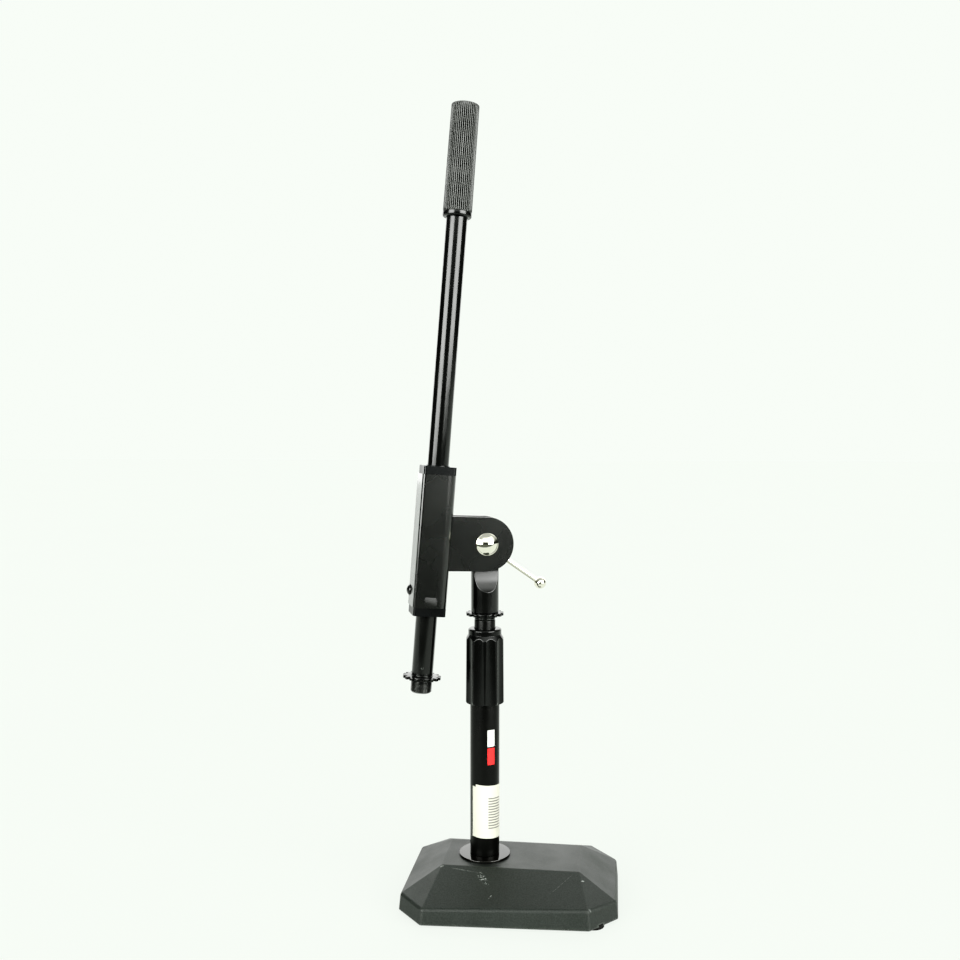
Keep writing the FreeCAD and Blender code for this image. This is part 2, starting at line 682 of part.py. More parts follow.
def insert_pin():
    return on_boom(pin_rod(PIN_RADIUS, SHAFT_RADIUS - SEAT_GAP))


def mic_lock_nut():
    return on_boom(star_nut(MIC_NUT_BOTTOM))


def counterweight():
    corner = WEIGHT_RADIUS_HIGH - WEIGHT_ROUND
    shoulder = WEIGHT_HIGH - WEIGHT_ROUND
    body = lathe(
        (0, WEIGHT_LOW),
        (WEIGHT_RADIUS_LOW, WEIGHT_LOW),
        (WEIGHT_RADIUS_HIGH, shoulder),
        (quarter(corner, shoulder, WEIGHT_ROUND, 45), (corner, WEIGHT_HIGH)),
        (0, WEIGHT_HIGH),
    )
    return on_boom(body.cut(rod(SHAFT_RADIUS + SEAT_GAP, WEIGHT_LOW - 1, WEIGHT_BORE_TOP)))


def counterweight_collar():
    corner = WEIGHT_COLLAR_RADIUS - WEIGHT_COLLAR_ROUND
    heel = WEIGHT_COLLAR_LOW + WEIGHT_COLLAR_ROUND
    body = lathe(
        (SHAFT_RADIUS + SEAT_GAP, WEIGHT_COLLAR_LOW),
        (corner, WEIGHT_COLLAR_LOW),
        (quarter(corner, heel, WEIGHT_COLLAR_ROUND, -45), (WEIGHT_COLLAR_RADIUS, heel)),
        (WEIGHT_COLLAR_RADIUS, WEIGHT_LOW - SEAT_GAP),
        (SHAFT_RADIUS + SEAT_GAP, WEIGHT_LOW - SEAT_GAP),
    )
    return on_boom(body)


PIECES = [
    base_casting,
    rubber_feet,
    base_bolt,
    base_bolt_washer,
    base_washer,
    lower_tube,
    tube_foot_plug,
    clutch_collar,
    clutch_collet,
    clutch_nut,
    clutch_grip,
    shaft_bush,
    inner_shaft,
    shaft_thread_insert,
    column_lock_nut,
    swivel_adapter,
    friction_washers,
    boom_bracket,
    clamp_insert,
    side_rivet,
    pivot_bolt,
    lever_washer,
    lever_hub,
    lever_bar,
    lever_balls,
    friction_sleeve,
    boom_tube,
    boom_thread_insert,
    insert_pin,
    mic_lock_nut,
    counterweight,
    counterweight_collar,
]


os.makedirs("parts", exist_ok=True)
for piece in PIECES:
    shape = piece()
    name = piece.__name__
    shape.exportStep(os.path.join("parts", name + ".step"))
    print(name, len(shape.Solids), "solids", round(shape.Volume), "mm3", "valid" if shape.isValid() else "BROKEN")
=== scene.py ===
import json
import math

import bmesh
import bpy
from mathutils import Matrix, Vector

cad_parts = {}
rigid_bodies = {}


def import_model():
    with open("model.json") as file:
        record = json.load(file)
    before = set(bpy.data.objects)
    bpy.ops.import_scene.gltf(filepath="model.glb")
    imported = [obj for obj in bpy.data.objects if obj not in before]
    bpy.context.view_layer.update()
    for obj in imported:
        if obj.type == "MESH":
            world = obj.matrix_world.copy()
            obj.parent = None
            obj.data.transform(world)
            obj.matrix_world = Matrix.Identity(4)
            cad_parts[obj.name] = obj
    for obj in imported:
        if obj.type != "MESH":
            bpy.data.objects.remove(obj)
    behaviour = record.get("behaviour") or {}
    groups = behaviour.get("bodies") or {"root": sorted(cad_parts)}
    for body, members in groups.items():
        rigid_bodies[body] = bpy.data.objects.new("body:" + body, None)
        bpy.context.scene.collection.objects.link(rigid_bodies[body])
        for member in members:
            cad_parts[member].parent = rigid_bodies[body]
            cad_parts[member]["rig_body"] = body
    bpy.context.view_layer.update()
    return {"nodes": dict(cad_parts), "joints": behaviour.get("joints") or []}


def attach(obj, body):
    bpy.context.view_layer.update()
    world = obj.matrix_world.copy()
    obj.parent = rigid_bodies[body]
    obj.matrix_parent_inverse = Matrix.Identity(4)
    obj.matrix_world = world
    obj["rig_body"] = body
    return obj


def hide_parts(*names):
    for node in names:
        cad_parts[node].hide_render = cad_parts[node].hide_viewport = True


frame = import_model()
MM = 0.001

# ---------------------------------------------------------------- places, from the record's joints

JOINTS = {joint["name"]: joint for joint in frame["joints"]}


def joint_axis(name):
    return Vector(JOINTS[name]["axis"]).normalized()


def joint_place(name):
    return Vector(JOINTS[name]["pos_m"])


def frame_at(origin, x, y, z):
    """Takes millimetres drawn along x, y and z from an origin to metres in the row frame."""
    turn = Matrix((x, y, z)).transposed().to_4x4()
    return Matrix.Translation(origin) @ turn @ Matrix.Scale(MM, 4)


UP = Vector((0, 0, 1))
ACROSS = joint_axis("boom_tilt")
ALONG_BOOM = joint_axis("boom_spin")
TO_FAR_BALL = -joint_axis("lever_rod_slide")
axis_point = joint_place("column_swivel")
COLUMN = frame_at(Vector((axis_point.x, axis_point.y, 0)), ACROSS.cross(UP), ACROSS, UP)
HEAD = frame_at(joint_place("boom_tilt"), ACROSS.cross(ALONG_BOOM), ACROSS, ALONG_BOOM)
BOOM = frame_at(joint_place("boom_spin"), ACROSS.cross(ALONG_BOOM), ACROSS, ALONG_BOOM)
LEVER = frame_at(joint_place("boom_tilt"), TO_FAR_BALL, ACROSS, TO_FAR_BALL.cross(ACROSS))

# ---------------------------------------------------------------- sizes, in millimetres

WASHER_RADIUS = 19.3        # polished washer under the lower tube
WASHER_LOW = 29.2
WASHER_HIGH = 30.7
TUBE_RADIUS = 11.11         # lower tube
TUBE_BORE = 9.5
TUBE_TOP = 172
SHAFT_RADIUS = 7.94         # inner shaft and boom tube
SHAFT_BORE = 6.7
SHAFT_LOW = 54.3
SHAFT_TOP = 209.5
THREAD_RADIUS = 7.9
THREAD_TOP = 227
COLUMN_NUT_LOW = 212.6
MIC_NUT_LOW = -103.7
BOOM_LOW = -100.3
BOOM_HIGH = 258
INSERT_LOW = -114           # threaded insert in the boom's lower end
INSERT_HIGH = -86.3
INSERT_RADIUS = 6.65
COLLAR_LOW = 239.8
COLLAR_RADIUS = 10.95
WEIGHT_LOW = 243.6
WEIGHT_HIGH = 322.8
WEIGHT_RADIUS_LOW = 10.8
WEIGHT_RADIUS_HIGH = 10.35
BAR_RADIUS = 1.95           # lever bar, and the middles of its balls at its ends
BAR_LOW = -12
BAR_HIGH = 59.5
BALL_RADIUS = 4.7

# ---------------------------------------------------------------- materials


def material(name):
    mat = bpy.data.materials.new(name)
    mat.use_nodes = True
    tree = mat.node_tree
    shader = tree.nodes["Principled BSDF"]
    return mat, tree, shader


def node(tree, kind, **settings):
    made = tree.nodes.new(kind)
    for key, value in settings.items():
        if key in made.inputs:
            made.inputs[key].default_value = value
        else:
            setattr(made, key, value)
    return made


def link(tree, a, b):
    tree.links.new(a, b)


def object_point(tree, scale=(1, 1, 1)):
    """Object coordinates in metres, stretched per axis."""
    coord = node(tree, "ShaderNodeTexCoord")
    mapping = node(tree, "ShaderNodeMapping")
    mapping.inputs["Scale"].default_value = scale
    link(tree, coord.outputs["Object"], mapping.inputs["Vector"])
    return mapping.outputs["Vector"]


def noise(tree, vector, scale, detail=4.0, roughness=0.55):
    made = node(tree, "ShaderNodeTexNoise", Scale=scale, Detail=detail, Roughness=roughness)
    link(tree, vector, made.inputs["Vector"])
    return made.outputs["Fac"]


def ramp(tree, value, *stops):
    """Maps a 0 to 1 value through (position, colour or grey) stops."""
    made = node(tree, "ShaderNodeValToRGB")
    while len(made.color_ramp.elements) < len(stops):
        made.color_ramp.elements.new(0.5)
    for element, (position, colour) in zip(made.color_ramp.elements, stops):
        element.position = position
        if not isinstance(colour, tuple):
            colour = (colour, colour, colour)
        element.color = (*colour, 1)
    link(tree, value, made.inputs["Fac"])
    return made.outputs["Color"]


def spread(tree, value, low, high):
    """Maps a noise's usual range, 0.3 to 0.7, to low to high."""
    made = node(tree, "ShaderNodeMapRange")
    made.inputs["From Min"].default_value = 0.3
    made.inputs["From Max"].default_value = 0.7
    made.inputs["To Min"].default_value = low
    made.inputs["To Max"].default_value = high
    link(tree, value, made.inputs["Value"])
    return made.outputs["Result"]


def blend_colour(tree, factor, a, b):
    made = node(tree, "ShaderNodeMix", data_type="RGBA")
    for socket, value in ((made.inputs[0], factor), (made.inputs[6], a), (made.inputs[7], b)):
        if isinstance(value, bpy.types.NodeSocket):
            link(tree, value, socket)
        else:
            socket.default_value = (*value, 1) if isinstance(value, tuple) else value
    return made.outputs[2]


def multiply(tree, a, b):
    made = node(tree, "ShaderNodeMath", operation="MULTIPLY")
    for socket, value in zip(made.inputs, (a, b)):
        if isinstance(value, bpy.types.NodeSocket):
            link(tree, value, socket)
        else:
            socket.default_value = value
    return made.outputs[0]


def bump(tree, shader, height, strength, distance, under=None):
    made = node(tree, "ShaderNodeBump", Strength=strength, Distance=distance)
    link(tree, height, made.inputs["Height"])
    if under is not None:
        link(tree, under, made.inputs["Normal"])
    link(tree, made.outputs["Normal"], shader.inputs["Normal"])
    return made.outputs["Normal"]


def edge_wear(tree, radius, low, high):
    """0 on open surfaces, 1 along sharp edges."""
    bevel = node(tree, "ShaderNodeBevel", Radius=radius)
    geometry = node(tree, "ShaderNodeNewGeometry")
    dot = node(tree, "ShaderNodeVectorMath", operation="DOT_PRODUCT")
    link(tree, bevel.outputs["Normal"], dot.inputs[0])
    link(tree, geometry.outputs["Normal"], dot.inputs[1])
    made = node(tree, "ShaderNodeMapRange")
    made.inputs["From Min"].default_value = high
    made.inputs["From Max"].default_value = low
    link(tree, dot.outputs["Value"], made.inputs["Value"])
    return made.outputs["Result"]


def painted(name, dark, light, rough, spec, grain, coat=0.0):
    """Black paint, plating or plastic: faint mottling between two tones, orange peel and smudged gloss."""
    mat, tree, shader = material(name)
    point = object_point(tree)
    mottling = noise(tree, point, 90, 5)
    link(tree, blend_colour(tree, mottling, dark, light), shader.inputs["Base Color"])
    smudges = noise(tree, point, 38, 2, 0.45)
    link(tree, spread(tree, smudges, rough[0], rough[1]), shader.inputs["Roughness"])
    shader.inputs["Specular IOR Level"].default_value = spec
    if coat:
        shader.inputs["Coat Weight"].default_value = coat
        shader.inputs["Coat Roughness"].default_value = 0.10
    peel = noise(tree, point, 2600, 2)
    bump(tree, shader, peel, grain, 0.00006)
    return mat


def gloss_black():
    dark, light = (0.004, 0.0045, 0.004), (0.009, 0.0095, 0.0085)
    return painted("gloss_black_plating", dark, light, (0.14, 0.24), 0.75, 0.05)


def satin_black():
    dark, light = (0.005, 0.0057, 0.0048), (0.009, 0.0098, 0.0085)
    return painted("satin_black_coat", dark, light, (0.24, 0.32), 0.5, 0.05, 1.0)


def tube_black():
    dark, light = (0.004, 0.0045, 0.004), (0.007, 0.007, 0.006)
    return painted("tube_black_coat", dark, light, (0.24, 0.32), 0.35, 0.08)


def mirror_black():
    dark, light = (0.005, 0.005, 0.0045), (0.012, 0.011, 0.009)
    return painted("mirror_black_plating", dark, light, (0.05, 0.12), 0.9, 0.02)


def grip_plastic():
    dark, light = (0.004, 0.0045, 0.004), (0.008, 0.0085, 0.008)
    return painted("grip_plastic", dark, light, (0.14, 0.22), 0.5, 0.06)


def liner_plastic():
    dark, light = (0.005, 0.006, 0.006), (0.009, 0.010, 0.010)
    return painted("liner_plastic", dark, light, (0.24, 0.34), 0.35, 0.05)


def rubber():
    return painted("foot_rubber", (0.008, 0.008, 0.008), (0.02, 0.02, 0.018), (0.6, 0.8), 0.3, 0.4)


# Scratches and chips at the front of the casting, in metres: middle, direction in degrees,
# half length and half width, and how bare the metal is
SCRATCHES = (
    ((-0.0113, -0.0507), 60, (0.0022, 0.0005), 0.7),
    ((-0.0505, -0.0262), 20, (0.0020, 0.0008), 0.6),
    ((-0.0340, -0.0285), 172, (0.0120, 0.0003), 0.35),
    ((0.0387, -0.0365), 50, (0.0150, 0.00022), 0.22),
    ((0.0540, -0.0320), 30, (0.0016, 0.0007), 0.8),
    ((0.0598, -0.0557), 10, (0.0010, 0.0007), 0.6),
    ((0.0357, -0.0619), 5, (0.0030, 0.0006), 0.5),
)


def oval(tree, centre, turn, size):
    """1 in the middle of a long oval on the casting, 0 beyond it. Metres, and degrees about Z."""
    coord = node(tree, "ShaderNodeTexCoord")
    mapping = node(tree, "ShaderNodeMapping", vector_type="TEXTURE")
    mapping.inputs["Location"].default_value = (*centre, 0.02)
    mapping.inputs["Rotation"].default_value = (0, 0, math.radians(turn))
    mapping.inputs["Scale"].default_value = (*size, 0.04)
    link(tree, coord.outputs["Object"], mapping.inputs["Vector"])
    distance = node(tree, "ShaderNodeVectorMath", operation="LENGTH")
    link(tree, mapping.outputs["Vector"], distance.inputs[0])
    return ramp(tree, distance.outputs["Value"], (0.55, 1.0), (1.0, 0.0))


def lightest(tree, a, b):
    made = node(tree, "ShaderNodeMath", operation="MAXIMUM")
    link(tree, a, made.inputs[0])
    link(tree, b, made.inputs[1])
    return made.outputs[0]


def cast_paint():
    """Dull grey-black paint on a casting, scuffed along its ridges, with a few scratches and chips."""
    mat, tree, shader = material("cast_base_paint")
    point = object_point(tree)
    broad = noise(tree, point, 35, 5, 0.6)
    fine = noise(tree, point, 1100, 4, 0.6)
    speck = noise(tree, point, 2400, 3, 0.7)
    base = blend_colour(tree, broad, (0.017, 0.020, 0.0175), (0.024, 0.028, 0.0245))
    grit = ramp(tree, fine, (0.35, 0.74), (0.65, 1.28))
    mottled = node(tree, "ShaderNodeVectorMath", operation="MULTIPLY")
    link(tree, base, mottled.inputs[0])
    link(tree, grit, mottled.inputs[1])
    wear = edge_wear(tree, 0.0022, 0.90, 0.998)
    broken = multiply(tree, wear, ramp(tree, fine, (0.3, 0.35), (0.6, 1.0)))
    wear_and_crest_highlight = blend_colour(tree, broken, mottled.outputs[0], (0.062, 0.068, 0.062))
    dust = ramp(tree, speck, (0.66, 0.0), (0.74, 0.45))
    dusty = blend_colour(tree, dust, wear_and_crest_highlight, (0.07, 0.075, 0.07))
    flecks = ramp(tree, noise(tree, point, 620, 4, 0.75), (0.55, 0.0), (0.60, 0.8))
    marks = multiply(tree, oval(tree, (-0.0185, -0.0355), 124, (0.0085, 0.0032)), flecks)
    patchy = ramp(tree, fine, (0.42, 0.1), (0.54, 1.0))
    for centre, turn, size, bare in SCRATCHES:
        scratch = multiply(tree, oval(tree, centre, turn, size), patchy)
        marks = lightest(tree, marks, multiply(tree, scratch, bare))
    link(tree, blend_colour(tree, marks, dusty, (0.30, 0.32, 0.30)), shader.inputs["Base Color"])
    link(tree, spread(tree, broad, 0.42, 0.56), shader.inputs["Roughness"])
    shader.inputs["Specular IOR Level"].default_value = 0.5
    first = bump(tree, shader, fine, 0.22, 0.00016)
    bump(tree, shader, speck, 0.2, 0.00008, first)
    return mat


def chrome():
    mat, tree, shader = material("bright_chrome")
    point = object_point(tree)
    smudges = noise(tree, point, 160, 5, 0.6)
    warm = blend_colour(tree, smudges, (0.82, 0.815, 0.69), (0.93, 0.925, 0.80))
    link(tree, warm, shader.inputs["Base Color"])
    link(tree, spread(tree, smudges, 0.03, 0.10), shader.inputs["Roughness"])
    shader.inputs["Metallic"].default_value = 1.0
    bump(tree, shader, noise(tree, point, 700, 3), 0.03, 0.0001)
    return mat


def plain_steel():
    mat, tree, shader = material("plain_steel")
    point = object_point(tree)
    stain = noise(tree, point, 300, 5, 0.65)
    grey = blend_colour(tree, stain, (0.10, 0.105, 0.10), (0.27, 0.28, 0.27))
    link(tree, grey, shader.inputs["Base Color"])
    link(tree, spread(tree, stain, 0.25, 0.45), shader.inputs["Roughness"])
    shader.inputs["Metallic"].default_value = 0.9
    bump(tree, shader, noise(tree, point, 2500, 3), 0.15, 0.00008)
    return mat


def knurl_metal():
    """Blackened metal, with a painted highlight along its crests and painted shade in its grooves."""
    mat, tree, shader = material("knurled_black")
    streak = noise(tree, object_point(tree, (1, 1, 0.05)), 900, 4, 0.6)
    patch = noise(tree, object_point(tree), 60, 4)
    # Streaked, patchy metal tone, shown only on the crests as a painted highlight
    wear_and_crest_highlight = blend_colour(tree, streak, (0.08, 0.083, 0.08), (0.34, 0.345, 0.335))
    wear_and_crest_highlight = blend_colour(tree, patch, wear_and_crest_highlight, (0.16, 0.163, 0.158))
    # Painted highlight and shade: pointiness gives the crests the lighter tone and paints the grooves near
    # black
    geometry = node(tree, "ShaderNodeNewGeometry")
    crest_highlight_mask = node(tree, "ShaderNodeMapRange")
    crest_highlight_mask.inputs["From Min"].default_value = 0.49
    crest_highlight_mask.inputs["From Max"].default_value = 0.57
    link(tree, geometry.outputs["Pointiness"], crest_highlight_mask.inputs["Value"])
    crest_highlight_groove_shade = blend_colour(tree, crest_highlight_mask.outputs["Result"], (0.022, 0.023, 0.022), wear_and_crest_highlight)
    link(tree, crest_highlight_groove_shade, shader.inputs["Base Color"])
    link(tree, spread(tree, patch, 0.28, 0.42), shader.inputs["Roughness"])
    shader.inputs["Metallic"].default_value = 0.85
    bump(tree, shader, streak, 0.2, 0.0001)
    return mat


def paper():
    mat, tree, shader = material("label_paper")
    point = object_point(tree)
    fibre = noise(tree, point, 2200, 5, 0.7)
    cream = blend_colour(tree, fibre, (0.56, 0.56, 0.47), (0.66, 0.66, 0.56))
    link(tree, cream, shader.inputs["Base Color"])
    link(tree, spread(tree, fibre, 0.35, 0.5), shader.inputs["Roughness"])
    bump(tree, shader, fibre, 0.1, 0.00005)
    return mat


def ink(name, colour):
    mat, tree, shader = material(name)
    point = object_point(tree)
    grain = noise(tree, point, 1500, 4, 0.7)
    dark = tuple(0.8 * c for c in colour)
    link(tree, blend_colour(tree, grain, dark, colour), shader.inputs["Base Color"])
    link(tree, spread(tree, grain, 0.3, 0.42), shader.inputs["Roughness"])
    return mat


GLOSS = gloss_black()
SATIN = satin_black()
TUBE = tube_black()
MIRROR = mirror_black()
GRIP = grip_plastic()
LINER = liner_plastic()
RUBBER = rubber()
CAST = cast_paint()
CHROME = chrome()
STEEL = plain_steel()
KNURL = knurl_metal()
PAPER = paper()
INK_GREY = ink("label_ink", (0.16, 0.155, 0.14))
INK_WHITE = ink("marking_white", (0.70, 0.71, 0.68))
INK_RED = ink("marking_red", (0.80, 0.035, 0.035))

# ---------------------------------------------------------------- mesh helpers


def add_piece(name, verts, faces, place, body, mat, stands_for=(), sharp=40):
    """A piece from vertices in millimetres at a place."""
    mesh = bpy.data.meshes.new(name)
    mesh.from_pydata([place @ Vector(v) for v in verts], [], faces)
    return finish_piece(name, mesh, body, mat, stands_for, sharp)


def finish_piece(name, mesh, body, mat, stands_for=(), sharp=40):
    """Cleans a mesh and makes it a piece that rides on a body and may stand for CAD nodes."""
    work = bmesh.new()
    work.from_mesh(mesh)
    bmesh.ops.remove_doubles(work, verts=work.verts, dist=1e-7)
    bmesh.ops.recalc_face_normals(work, faces=work.faces)
    work.to_mesh(mesh)
    work.free()
    mesh.polygons.foreach_set("use_smooth", [True] * len(mesh.polygons))
    mesh.set_sharp_from_angle(angle=math.radians(sharp))
    mesh.materials.append(mat)
    obj = bpy.data.objects.new(name, mesh)
    bpy.context.scene.collection.objects.link(obj)
    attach(obj, body)
    if stands_for:
        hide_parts(*stands_for)
    return obj


def rounded(points, closed=True, steps=5):
    """A profile whose points may carry a rounding radius as their third number."""
    made = []
    count = len(points)
    for i, point in enumerate(points):
        here = Vector(point[:2])
        radius = point[2] if len(point) > 2 else 0
        if not radius or (not closed and i in (0, count - 1)):
            made.append(tuple(here))
            continue
        before = Vector(points[i - 1][:2]) - here
        after = Vector(points[(i + 1) % count][:2]) - here
        turn = before.angle(after)
        reach = radius / math.tan(turn / 2)
        reach = min(reach, before.length * 0.499, after.length * 0.499)
        radius = reach * math.tan(turn / 2)
        start = here + before.normalized() * reach
        end = here + after.normalized() * reach
        inward = (before.normalized() + after.normalized()).normalized()
        middle = here + inward * (radius / math.sin(turn / 2))
        a = start - middle
        b = end - middle
        arc = math.pi - turn
        for k in range(steps + 1):
            t = k / steps
            weight_a = math.sin((1 - t) * arc) / math.sin(arc)
            weight_b = math.sin(t * arc) / math.sin(arc)
            made.append(tuple(middle + a * weight_a + b * weight_b))
    return made


def turned(profile, segments=128, closed=True, shape=None):
    """Vertices and faces of a profile of (r, z) turned about Z. shape(angle, r, z) may change r."""
    verts = []
    faces = []
    rows = len(profile)
    for i in range(segments):
        angle = 2 * math.pi * i / segments
        for r, z in profile:
            if shape:
                r = shape(angle, r, z)
            verts.append((r * math.cos(angle), r * math.sin(angle), z))
    for i in range(segments):
        after = (i + 1) % segments
        for j in range(rows if closed else rows - 1):
            k = (j + 1) % rows
            faces.append((i * rows + j, after * rows + j, after * rows + k, i * rows + k))
    return verts, [f for f in faces if len(set(f)) > 2]


def lathe(name, points, place, body, mat, stands_for=(), segments=128, closed=True):
    """A piece from a profile with roundings, turned about Z."""
    verts, faces = turned(rounded(points, closed), segments, closed)
    return add_piece(name, verts, faces, place, body, mat, stands_for)


def tube_profile(outer, inner, low, high, edge):
    return [(inner, low, edge), (outer, low, edge), (outer, high, edge), (inner, high, edge)]


def softened(name, edge, mat, angle=28, segments=3, sharp=180):
    """A copy of a CAD node with its edges rounded, which stands for the node."""
    node_object = frame["nodes"][name]
    work = bmesh.new()
    work.from_mesh(node_object.data)
    bmesh.ops.remove_doubles(work, verts=work.verts, dist=2e-6)
    flat = math.radians(0.6)
    bmesh.ops.dissolve_limit(work, angle_limit=flat, verts=work.verts, edges=work.edges)
    limit = math.radians(angle)
    corners = [e for e in work.edges if len(e.link_faces) == 2 and e.calc_face_angle(0) > limit]
    bmesh.ops.bevel(
        work,
        geom=corners,
        offset=edge * MM,
        offset_type="OFFSET",
        segments=segments,
        profile=0.5,
        affect="EDGES",
        clamp_overlap=True,
    )
    mesh = bpy.data.meshes.new(name + "_shown")
    work.to_mesh(mesh)
    work.free()
    obj = finish_piece(name + "_shown", mesh, node_object["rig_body"], mat, (name,), sharp)
    weighted = obj.modifiers.new("even_shading", "WEIGHTED_NORMAL")
    weighted.weight = 80
    weighted.keep_sharp = True
    return obj


def paint_node(name, mat):
    """Keeps a CAD node's own mesh, with a better material."""
    node_object = frame["nodes"][name]
    node_object.data.materials.clear()
    node_object.data.materials.append(mat)


# ---------------------------------------------------------------- base

softened("base_casting", 0.3, CAST, angle=40)
paint_node("rubber_feet", RUBBER)
paint_node("base_bolt", STEEL)
paint_node("base_bolt_washer", STEEL)
lathe(
    "base_washer_shown",
    tube_profile(WASHER_RADIUS, 5.3, WASHER_LOW, WASHER_HIGH, 0.35),
    COLUMN, "base", MIRROR, ("base_washer",), segments=160,
)

# ---------------------------------------------------------------- column

lathe(
    "lower_tube_shown",
    tube_profile(TUBE_RADIUS, TUBE_BORE, WASHER_HIGH, TUBE_TOP, 0.3),
    COLUMN, "base", TUBE, ("lower_tube",), segments=160,
)
lathe(
    "inner_shaft_shown",
    [
        (SHAFT_BORE, SHAFT_LOW), (SHAFT_RADIUS, SHAFT_LOW, 0.3),
        (SHAFT_RADIUS, SHAFT_TOP, 0.9), (SHAFT_BORE, SHAFT_TOP),
    ],
    COLUMN, "riser", TUBE, ("inner_shaft",), segments=128,
)


def thread_shape(low, high, pitch=0.94, depth=0.42):
    """Radius of a right-hand thread that fades out at both ends."""
    def radius(angle, r, z):
        phase = (z / pitch - angle / (2 * math.pi)) % 1
        groove = abs(2 * phase - 1)
        ease = min(1, max(0, (z - low) / pitch), max(0, (high - z) / pitch))
        return r - depth * ease * (1 - min(1, groove * 1.25))
    return radius


def threaded(name, radius, low, high, chamfer, place, body, mat, stands_for, tail):
    """A chamfered thread, then whatever profile is past its upper end."""
    rows = [(0, low), (radius - chamfer, low)]
    steps = int((high - low - chamfer) / 0.094)
    for i in range(steps + 1):
        rows.append((radius, low + chamfer + (high - low - chamfer) * i / steps))
    rows += tail
    shape = thread_shape(low + chamfer * 0.4, high)

    def shaped(angle, r, z):
        return shape(angle, r, z) if r == radius else r

    verts, faces = turned(rows, 120, False, shaped)
    return add_piece(name, verts, faces, place, body, mat, stands_for, sharp=50)


threaded(
    "shaft_thread_shown", THREAD_RADIUS, SHAFT_TOP, THREAD_TOP, 0.5, COLUMN, "riser", KNURL,
    ("shaft_thread_insert",), [(0, THREAD_TOP)],
)

GRIP_LOW = 146.0
GRIP_HIGH = 202.8
GRIP_RADIUS_LOW = 14.95
GRIP_RADIUS_HIGH = 14.5
GRIP_NECK = 12.5
GRIP_HEEL = 2.6
FLUTES = 10
FLUTE_PHASE = 23.2
FLUTE_CUTTER = 10.0
FLUTE_REACH = GRIP_RADIUS_LOW - 1.5 + FLUTE_CUTTER


def fluted(angle, r, z):
    """The grip's radius where a flute's cylinder passes through it."""
    if r < GRIP_NECK - 0.5:
        return r
    step = 2 * math.pi / FLUTES
    away = (angle - math.radians(FLUTE_PHASE) + step / 2) % step - step / 2
    inside = FLUTE_CUTTER ** 2 - (FLUTE_REACH * math.sin(away)) ** 2
    if inside <= 0:
        return r
    cut = FLUTE_REACH * math.cos(away) - math.sqrt(inside)
    blend = 0.16
    h = max(0, min(1, 0.5 + 0.5 * (r - cut) / blend))
    return r + (cut - r) * h - blend * h * (1 - h)


def subdivided(points, longest):
    """The same profile with no step longer than a limit."""
    made = [points[0]]
    for before, after in zip(points, points[1:]):
        parts = max(1, math.ceil((Vector(after) - Vector(before)).length / longest))
        made += [tuple(Vector(before).lerp(Vector(after), (k + 1) / parts)) for k in range(parts)]
    return made


grip_outside = rounded([
    (11.45, GRIP_LOW),
    (GRIP_RADIUS_LOW, GRIP_LOW, GRIP_HEEL),
    (GRIP_RADIUS_HIGH, 194.8, 0.7),
    (GRIP_NECK, 198.2, 0.5),
    (GRIP_NECK, GRIP_HIGH, 1.4),
    (8.3, GRIP_HIGH, 0.3),
    (8.3, 195),
], closed=False, steps=8)
grip_inside = [(11.75, 190), (11.75, 149), (11.45, 149)]
verts, faces = turned(subdivided(grip_outside, 0.45) + grip_inside, 480, True, fluted)
add_piece(
    "clutch_grip_shown", verts, faces, COLUMN, "clutch", GRIP, ("clutch_grip",), sharp=50,
)
for hidden in ("tube_foot_plug", "clutch_collar", "clutch_nut"):
    paint_node(hidden, STEEL)
for hidden in ("clutch_collet", "shaft_bush", "friction_washers"):
    paint_node(hidden, LINER)

# ---------------------------------------------------------------- label and marking on the lower tube

FRONT = -102.8      # where they face, in degrees about the column


def wrapped(start, end, low, high, proud, corner=0.0, slant=0.0, notch=None):
    """Vertices and faces of a thin sheet wrapped round the lower tube.

    It lies between two angles from the front and two heights, and slants by a fall per degree. Its corners
    may be rounded. A notch is an angle, up to which the upper edge is lower, and the drop there."""
    inner = TUBE_RADIUS + 0.02
    outer = TUBE_RADIUS + proud
    steps = max(8, int(end - start))
    angles = [start + (end - start) * i / steps for i in range(steps + 1)]
    if notch:
        angles = sorted(angles + [notch[0] - 0.4, notch[0] + 0.4])
    verts = []
    for a in angles:
        from_end = math.radians(min(a - start, end - a)) * outer
        inset = 0.0
        if from_end < corner:
            inset = corner - math.sqrt(corner ** 2 - (corner - from_end) ** 2)
        top = high - slant * a - inset
        if notch and a < notch[0]:
            top -= notch[1]
        bottom = low - slant * a + inset
        turn = math.radians(FRONT + a)
        for r, z in ((inner, bottom), (outer, bottom), (outer, top), (inner, top)):
            verts.append((r * math.cos(turn), r * math.sin(turn), z))
    faces = [(3, 2, 1, 0)]
    for i in range(len(angles) - 1):
        for j in range(4):
            k = (j + 1) % 4
            faces.append((4 * i + j, 4 * i + k, 4 * i + 4 + k, 4 * i + 4 + j))
    last = 4 * (len(angles) - 1)
    faces.append((last, last + 1, last + 2, last + 3))
    return verts, faces


def joined(parts):
    """Vertices and faces of several meshes as one."""
    verts, faces = [], []
    for more, more_faces in parts:
        faces += [tuple(i + len(verts) for i in f) for f in more_faces]
        verts += more
    return verts, faces


def on_tube(name, mat, *parts):
    verts, faces = joined(parts)
    add_piece(name, verts, faces, COLUMN, "base", mat)


